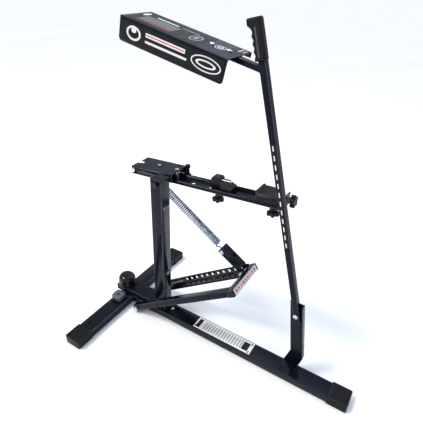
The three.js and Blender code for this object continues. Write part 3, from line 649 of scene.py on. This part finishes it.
def spring():
    """The close-wound coil with its two loops, as one length of wire."""
    wire_radius, coil_radius = 2.0, 10.0
    low, high = 106 + wire_radius, LINK_LENGTH - 20 - wire_radius
    lower_pin, upper_pin = 82.0, LINK_LENGTH
    loop, pitch = 6.2, 5.9
    turns = round((high - low) / pitch)
    per_turn = 18
    coil = []
    for i in range(turns * per_turn + 1):
        angle = TAU * i / per_turn
        coil.append((low + (high - low) * i / (turns * per_turn), coil_radius * math.sin(angle),
                     coil_radius * math.cos(angle)))

    def hook(pin, side):
        """Points from the loop's free end to the coil, on the side of the pin that faces it."""
        out = []
        for i in range(10):
            angle = math.radians(-150 + 255 * i / 9)
            out.append((pin - side * loop * math.cos(angle), 0, loop * math.sin(angle)))
        return out

    lower = hook(lower_pin, 1)
    lower += [(lower_pin + 10.5, 0, 4.6), (lower_pin + 17, -1.5, 6.6), (low - 3.4, -5.4, 8.6)]
    upper = hook(upper_pin, -1)
    upper += [(upper_pin - 9.5, 0, 4.6), (upper_pin - 14, 1.5, 6.8), (high + 2.6, 5.2, 8.9)]
    path = spline(lower + [coil[0]], 5)[:-1]
    path += [Vector(p) for p in coil]
    path += spline([coil[-1], *reversed(upper)], 5)[1:]
    bm = bmesh.new()
    sweep(bm, path, [wire_radius] * len(path), 7)
    piece("throw_spring_coil", bm, LINK, "spring_zinc", "link_group",
          ("throw_spring", "spring_hook_lower", "spring_hook_upper"), 60)


bumper()
pad()
hub_stop()
grip()
spring()
UNDER_ARM = -17.0  # where the knobs' stems start, mm
star_knob("release_knob", ARM, along("z", (147, 0, UNDER_ARM)), 18, 18, "release_knob_group")
star_knob("rear_knob", ARM, along("z", (306, 0, UNDER_ARM)), 18, 15, "rear_knob_group")
star_knob("micro_knob", ARM, Matrix.Translation((347.6, 0, 4)) @ Matrix.Rotation(math.radians(-90), 4, "Y"),
          2, 0, "micro_group")

# ------------------------------------------------------------------ fasteners
MAST_REAR = 155.05  # mm along the base, from the crossing
AXLE_AT, PEDAL_AXLE_AT, POLE_BOLT_AT = (136, 0, 482), (65, 0, 17), (565.5, 0, 221)
BIG, MIDDLE, SMALL = 5, 4, 3  # radius of a shank, mm
BIG_HEX, MIDDLE_HEX, SMALL_HEX = 8.75, 7, 5.5  # radius to a hexagon's corners, mm
fastener("tube_bolt", FLOOR, "z", (173, 0, 0),
         [("shank", 22.7, 28.5, SMALL), ("hex", 27.5, 32.7, 6.5)], "floor_frame")
fastener("mast_bolt", FLOOR, "x", (0, 0, 173),
         [("shank", MAST_REAR - 8, MAST_REAR + 1, SMALL), ("hex", MAST_REAR + GAP, MAST_REAR + 5, 6)],
         "floor_frame")
fastener("axle_bolt", FLOOR, "y", AXLE_AT,
         [("hex", -26.35, -19.35, BIG_HEX), ("shank", -19.8, 96, BIG), ("thread", 95, 106.3, BIG)],
         "floor_frame", "dark_steel")
fastener("axle_nut", FLOOR, "y", AXLE_AT, [("hex", 98.1, 105.1, BIG_HEX)], "floor_frame")
fastener("pedal_pivot_bolt", FLOOR, "y", PEDAL_AXLE_AT,
         [("hex", -60.3, -53.3, BIG_HEX), ("shank", -53.8, 79, BIG), ("thread", 78, 88.5, BIG)],
         "floor_frame")
fastener("pedal_pivot_nut", FLOOR, "y", PEDAL_AXLE_AT, [("hex", 79.8, 86.8, BIG_HEX)], "floor_frame")
fastener("bracket_foot_pin", PEDAL, "y", (396, 0, 4),
         [("hex", 36.2, 41.2, MIDDLE_HEX), ("shank", 41, 80, MIDDLE), ("hex", 79.8, 85.3, MIDDLE_HEX),
          ("thread", 79, 87.8, MIDDLE)], "pedal_group")
fastener("spring_pin_lower", LINK, "y", (82, 0, 0),
         [("hex", -18, -13, MIDDLE_HEX), ("shank", -13.2, 13.2, MIDDLE), ("hex", 13, 18.5, MIDDLE_HEX),
          ("thread", 12, 21, MIDDLE)], "link_group")
fastener("spring_pin_upper", ARM, "y", tuple(HUB_BOLT),
         [("hex", -40.7, -37.1, MIDDLE_HEX), ("shank", -37.4, 37.4, MIDDLE), ("hex", 37.1, 42.6, MIDDLE_HEX),
          ("thread", 36, 45.1, MIDDLE)], "arm_group")
fastener("pole_bolt", FLOOR, "y", POLE_BOLT_AT,
         [("hex", 0.85, 5.85, MIDDLE_HEX), ("shank", 5.6, 26, MIDDLE), ("thread", 25, 33.4, MIDDLE)],
         "floor_frame", "blue_zinc")
fastener("pole_nut", FLOOR, "y", POLE_BOLT_AT, [("hex", 25.7, 31.7, MIDDLE_HEX)], "floor_frame")
for end, station in (("front", -47), ("rear", 14)):
    fastener("arm_screw_" + end, ARM, "z", (station, 0, 0),
             [("thread", -23.7, -16, SMALL), ("shank", -17, 15, SMALL), ("hex", 14.3, 18, SMALL_HEX)],
             "arm_group")
    sleeve("arm_sleeve_" + end, ARM, "z", (station, 0, 0), -14, 10.7, 6, 3.3, "arm_group")
for end, station in (("rear", -27), ("front", -70)):
    fastener("shield_bolt_" + end, SHIELD, "z", (station, 0, 0),
             [("thread", -22.6, -14, SMALL), ("shank", -15, 1, SMALL), ("pan", GAP, 4, 5.8)],
             "floor_frame", "blue_zinc")
    fastener("shield_nut_" + end, SHIELD, "z", (station, 0, 0), [("hex", -19.9, -14.9, SMALL_HEX)],
             "floor_frame")
fastener("micro_screw", ARM, "x", (0, 0, 4), [("thread", 319, 350.3, MIDDLE), ("hex", 338.6, 347.3, 7.5)],
         "micro_group", "dark_steel")
for name, side in (("prong_near", -6), ("prong_far", 6)):
    fastener(name, ARM, "x", (0, side, 19), [("shank", 151.5, 191, 1.5)], "release_group")
SPACER, SPACER_BORE = 9, 5.3  # radii, mm
sleeve("axle_spacer", FLOOR, "y", AXLE_AT, 19.35, 23.4, SPACER, SPACER_BORE, "floor_frame")
sleeve("pedal_spacer_near", FLOOR, "y", PEDAL_AXLE_AT, -32.7, -25.7, SPACER, SPACER_BORE, "floor_frame")
sleeve("pedal_spacer_far", FLOOR, "y", PEDAL_AXLE_AT, 25.7, 41.2, SPACER, SPACER_BORE, "floor_frame")

# ------------------------------------------------------------------ welds
SEAM = BASE_TOP + 0.4
POST = 19.4  # half the mast's size, to the middle of its bead
weld("weld_mast_foot", FLOOR, [(136 - POST, -POST, SEAM), (136 + POST, -POST, SEAM), (136 + POST, POST, SEAM),
                               (136 - POST, POST, SEAM), (136 - POST, -POST, SEAM)], 2.2, "floor_frame")
TUBE_SIDE = 25.3  # from a base tube's middle to the bead along its side
weld("weld_deck_rear", FLOOR, [(113.2, -22, SEAM), (113.2, 22, SEAM)], 1.9, "floor_frame")
for side, tag in ((-TUBE_SIDE, "near"), (TUBE_SIDE, "far")):
    for i, start in enumerate((30, 62, 92)):
        weld(f"weld_deck_{tag}_{i}", FLOOR, [(start, side, SEAM - GAP), (start + 15, side, SEAM - GAP)], 1.5,
             "floor_frame")
    weld("weld_cross_" + tag, FLOOR, [(25.7, side, 4.5), (25.7, side, 25)], 2.0, "floor_frame")
for end, station in (("front", 552.8), ("rear", 595.2)):
    weld("weld_bracket_" + end, FLOOR, [(station, -22, SEAM), (station, 24, SEAM)], 1.9, "floor_frame")
TREAD_FRONT = 404.8  # mm along the pedal
weld("weld_tread_near", PEDAL, [(TREAD_FRONT, -53, 9.6), (TREAD_FRONT, -53, -9.8), (TREAD_FRONT, -33, -9.8),
                                (TREAD_FRONT, -33, 9.6), (TREAD_FRONT, -53, 9.6)], 1.5, "pedal_group")
weld("weld_tread_far", PEDAL, [(TREAD_FRONT, 41.5, 9.2), (TREAD_FRONT, 41.5, -8), (TREAD_FRONT, 79.2, -8),
                               (TREAD_FRONT, 79.2, 9.2)], 1.5, "pedal_group")
ARM_END = 335.1  # mm along the arm
weld("weld_arm_end", ARM, [(ARM_END, -23.6, -5), (ARM_END, -23.6, -16.3), (ARM_END, 23.6, -16.3),
                           (ARM_END, 23.6, -5)], 1.2, "arm_group")


def stay_weld():
    """Round the stay where it meets the pole's front face."""
    across = POLE.inverted() @ SHIELD
    stay_middle, pole_front = -8.25 * MM, -8.1 * MM
    middle = across @ Vector((0, 0, stay_middle))
    heading = across.to_3x3() @ Vector((1, 0, 0))
    height = (middle + heading * ((pole_front - middle.x) / heading.x)).z / MM
    half, tall = 7.7, 7.0
    x = -8.3
    weld("weld_stay", POLE, [(x, -half, height - tall), (x, half, height - tall), (x, half, height + tall),
                             (x, -half, height + tall), (x, -half, height - tall)], 1.3, "floor_frame")


stay_weld()


# ------------------------------------------------------------------ stickers, with plain generic marks
ROUNDING = 1.2  # mm, at the corners of a plate


def plate(bm, centre, size, thick, lift, index):
    """A thin rounded rectangle lying in local X and Y at height lift."""
    (cx, cy), (sx, sy) = centre, size
    corner = min(ROUNDING, sx / 2.2, sy / 2.2)
    outline = []
    for x, y, start in ((sx / 2 - corner, -sy / 2 + corner, -90), (sx / 2 - corner, sy / 2 - corner, 0),
                        (-sx / 2 + corner, sy / 2 - corner, 90), (-sx / 2 + corner, -sy / 2 + corner, 180)):
        for i in range(5):
            angle = math.radians(start + i * 22.5)
            outline.append((cx + x + corner * math.cos(angle), cy + y + corner * math.sin(angle)))
    before = set(bm.faces)
    loft(bm, [[(x, y, lift) for x, y in outline], [(x, y, lift + thick) for x, y in outline]])
    for face in set(bm.faces) - before:
        face.material_index = index


def disc(bm, centre, size, thick, lift, index):
    before = set(bm.faces)
    rings = [[(centre[0] + x * size[0] / 2, centre[1] + y * size[1] / 2, z) for x, y, _ in circle(1, 0, 40)]
             for z in (lift, lift + thick)]
    loft(bm, rings)
    for face in set(bm.faces) - before:
        face.material_index = index


VINYL, PRINT = 0.12, 0.05  # thickness of the film and of a mark on it, mm


def sticker(name, place, turn, marks, looks, body):
    """marks: (shape, centre, size, layer, look number). Layer 0 is the film itself."""
    bm = bmesh.new()
    for shape, centre, size, layer, index in marks:
        lift = 0.02 + (0 if layer == 0 else VINYL - 0.01 + (layer - 1) * PRINT)
        thick = VINYL if layer == 0 else PRINT
        (plate if shape == "box" else disc)(bm, centre, size, thick, lift, index)
    bmesh.ops.transform(bm, matrix=turn, verts=bm.verts)
    piece(name, bm, place, looks, body, (), 40)


def rows(start, pitch, count, centre_across, size, layer, index, along_x=True):
    """A run of equal bars."""
    out = []
    for i in range(count):
        at = start + i * pitch
        out.append(("box", (at, centre_across) if along_x else (centre_across, at), size, layer, index))
    return out


TOP_FACE = Matrix.Identity(4)
REAR_FACE = Matrix.Rotation(math.radians(90), 4, "Y")  # local X becomes -Z, and the normal becomes X
NEAR_FACE = Matrix.Rotation(math.radians(90), 4, "X")  # local Y becomes Z, and the normal becomes -Y

# Base label: looks white, grey, dark, red.
base_marks = [("box", (364.5, 0), (195, 43), 0, 0)]
base_marks += rows(300, 9, 15, 0, (4.2, 31), 1, 1)
base_marks += [("box", (279, 0), (12, 34), 1, 2), ("box", (441, 0), (20, 30), 1, 2),
               ("box", (455, -15), (5, 8), 1, 3), ("box", (455, 15), (5, 8), 1, 3),
               ("box", (271, -14), (4, 9), 1, 3)]
sticker("base_label", FLOOR, Matrix.Translation((0, 0, BASE_TOP)), base_marks,
        "white_ink grey_ink black_ink red_ink", "floor_frame")

# Mast label on the rear face.
sticker("mast_label", FLOOR, Matrix.Translation((MAST_REAR, 0, 406)) @ REAR_FACE,
        [("box", (0, 0), (5.5, 27), 0, 0), ("box", (0, 0), (1.6, 22), 1, 1)],
        "grey_ink black_ink", "floor_frame")

# Strip on the tread's rear face.
tread_marks = [("box", (0, 13.25), (17, 124), 0, 0)]
for i in range(9):
    long = 10.6 - 2 * (i % 3 == 1)
    tread_marks.append(("box", (0.2, -38.5 + i * 12.9), (5.4, long), 1, 1 + (i % 4 == 2)))
tread_marks += [("box", (-5.6, 13.25), (1.1, 116), 1, 3), ("box", (5.8, 13.25), (1.1, 116), 1, 3)]
sticker("tread_strip", PEDAL, Matrix.Translation((425.0, 0, 0)) @ REAR_FACE, tread_marks,
        "white_ink red_ink pink_ink black_ink", "pedal_group")

# Pole scale on the near face: short white bars.
pole_marks = [("box", (0, 330), (10.5, 258), 0, 1)]
pole_marks += rows(449, -21.8, 12, -1.0, (3.0, 12.5), 1, 0, False)
sticker("pole_scale", POLE, Matrix.Translation((0, -7.95, 0)) @ NEAR_FACE, pole_marks, "white_ink black_ink",
        "floor_frame")

# Shield: dark film with plain light bars, a round emblem between the bolts, and a small sticker.
top_marks = [("box", (-176, 0), (184, 92), 0, 0)]
top_marks += [("box", (-205, y), (92, 3.4), 1, 1) for y in (-21, -13, -5, 3, 11)]
top_marks += [("box", (-205, -30), (92, 3.4), 1, 2), ("box", (-140, 24), (46, 4), 1, 1),
              ("box", (-205, 25), (60, 6.5), 1, 3), ("disc", (-262, 22), (10, 30), 1, 3)]
top_marks += [("disc", (-108, -4), (27, 44), 1, 1), ("disc", (-108, -4), (20, 35), 2, 0),
              ("box", (-108, -4), (8, 20), 3, 1)]
sticker("shield_top_film", SHIELD, TOP_FACE, top_marks, "black_ink grey_ink red_ink white_ink", "floor_frame")
sticker("shield_emblem", SHIELD, TOP_FACE,
        [("disc", (-48.5, 0), (25, 29), 0, 1), ("disc", (-48.5, 0), (21, 25), 1, 0),
         ("disc", (-48.5, 0), (13, 16), 2, 1), ("disc", (-48.5, 0), (6, 8), 3, 0)],
        "black_ink white_ink", "floor_frame")
sticker("shield_small_sticker", SHIELD, TOP_FACE,
        [("box", (-13, 32), (21, 33), 0, 0), ("box", (-17, 32), (3, 26), 1, 1),
         ("box", (-11, 32), (3, 26), 1, 2), ("box", (-6, 32), (2, 20), 1, 1)],
        "black_ink white_ink red_ink", "floor_frame")
flange_marks = [("box", (-138, -26), (262, 40), 0, 0)]
flange_marks += [("disc", (-46, -26), (74, 31), 1, 1), ("disc", (-46, -26), (68, 26), 2, 0),
                 ("disc", (-46, -26), (50, 15), 3, 1), ("disc", (-46, -26), (38, 9), 4, 0)]
flange_marks += [("box", (-151, -19), (104, 9), 1, 1), ("box", (-151, -19), (100, 2.2), 2, 2),
                 ("box", (-148, -33), (110, 5), 1, 1)]
flange_marks += [("disc", (-236, -26), (40, 30), 1, 1), ("disc", (-236, -26), (30, 21), 2, 0),
                 ("disc", (-236, -20), (14, 10), 3, 1)]
sticker("shield_side_film", SHIELD, Matrix.Translation((0, -52.5, 0)) @ NEAR_FACE, flange_marks,
        "black_ink white_ink red_ink", "floor_frame")


# ------------------------------------------------------------------ floor and light
def stage():
    look = Look("pale_floor")
    tone = look.remap(look.noise(1.6, 4), 0.3, 0.7, 0, 1)
    look.colour(look.blend(tone, (0.88, 0.88, 0.875), (0.92, 0.92, 0.915)))
    look.roughness(look.remap(look.noise(9, 3), 0.3, 0.7, 0.6, 0.75))
    mesh = bpy.data.meshes.new("floor")
    reach, level = 60, -0.0004  # metres
    corners = [(-reach, -reach, level), (reach, -reach, level), (reach, reach, level), (-reach, reach, level)]
    mesh.from_pydata(corners, [], [(0, 1, 2, 3)])
    mesh.materials.append(look.material)
    floor = bpy.data.objects.new("floor", mesh)
    bpy.context.scene.collection.objects.link(floor)


def softbox(name, place, target, size, power, colour):
    lamp = bpy.data.lights.new(name, "AREA")
    lamp.shape = "RECTANGLE"
    lamp.size, lamp.size_y = size
    lamp.energy = power
    lamp.color = colour
    made = bpy.data.objects.new(name, lamp)
    aim = (Vector(target) - Vector(place)).to_track_quat("-Z", "Y")
    made.matrix_world = Matrix.Translation(place) @ aim.to_matrix().to_4x4()
    bpy.context.scene.collection.objects.link(made)


stage()
sun = bpy.data.lights.new("soft_sun", "SUN")
sun.energy = 1.6
sun.angle = math.radians(14)
sun_place = bpy.data.objects.new("soft_sun", sun)
sun_place.matrix_world = Vector((-0.43, -0.3, 0.85)).to_track_quat("Z", "Y").to_matrix().to_4x4()
bpy.context.scene.collection.objects.link(sun_place)
softbox("overhead", (0.2, 0.9, 2.4), (0, 0, 0.3), (2.6, 1.6), 22, (0.6, 0.76, 1.0))
softbox("near_side", (-1.4, -1.75, 2.3), (0, 0, 0.3), (1.7, 0.3), 26, (1.0, 0.99, 0.97))

world = bpy.data.worlds.new("studio")
bpy.context.scene.world = world
world.use_nodes = True
world.node_tree.nodes["Background"].inputs["Color"].default_value = (0.90, 0.93, 1.0, 1)
world.node_tree.nodes["Background"].inputs["Strength"].default_value = 0.72
bpy.context.scene.view_settings.view_transform = "Standard"
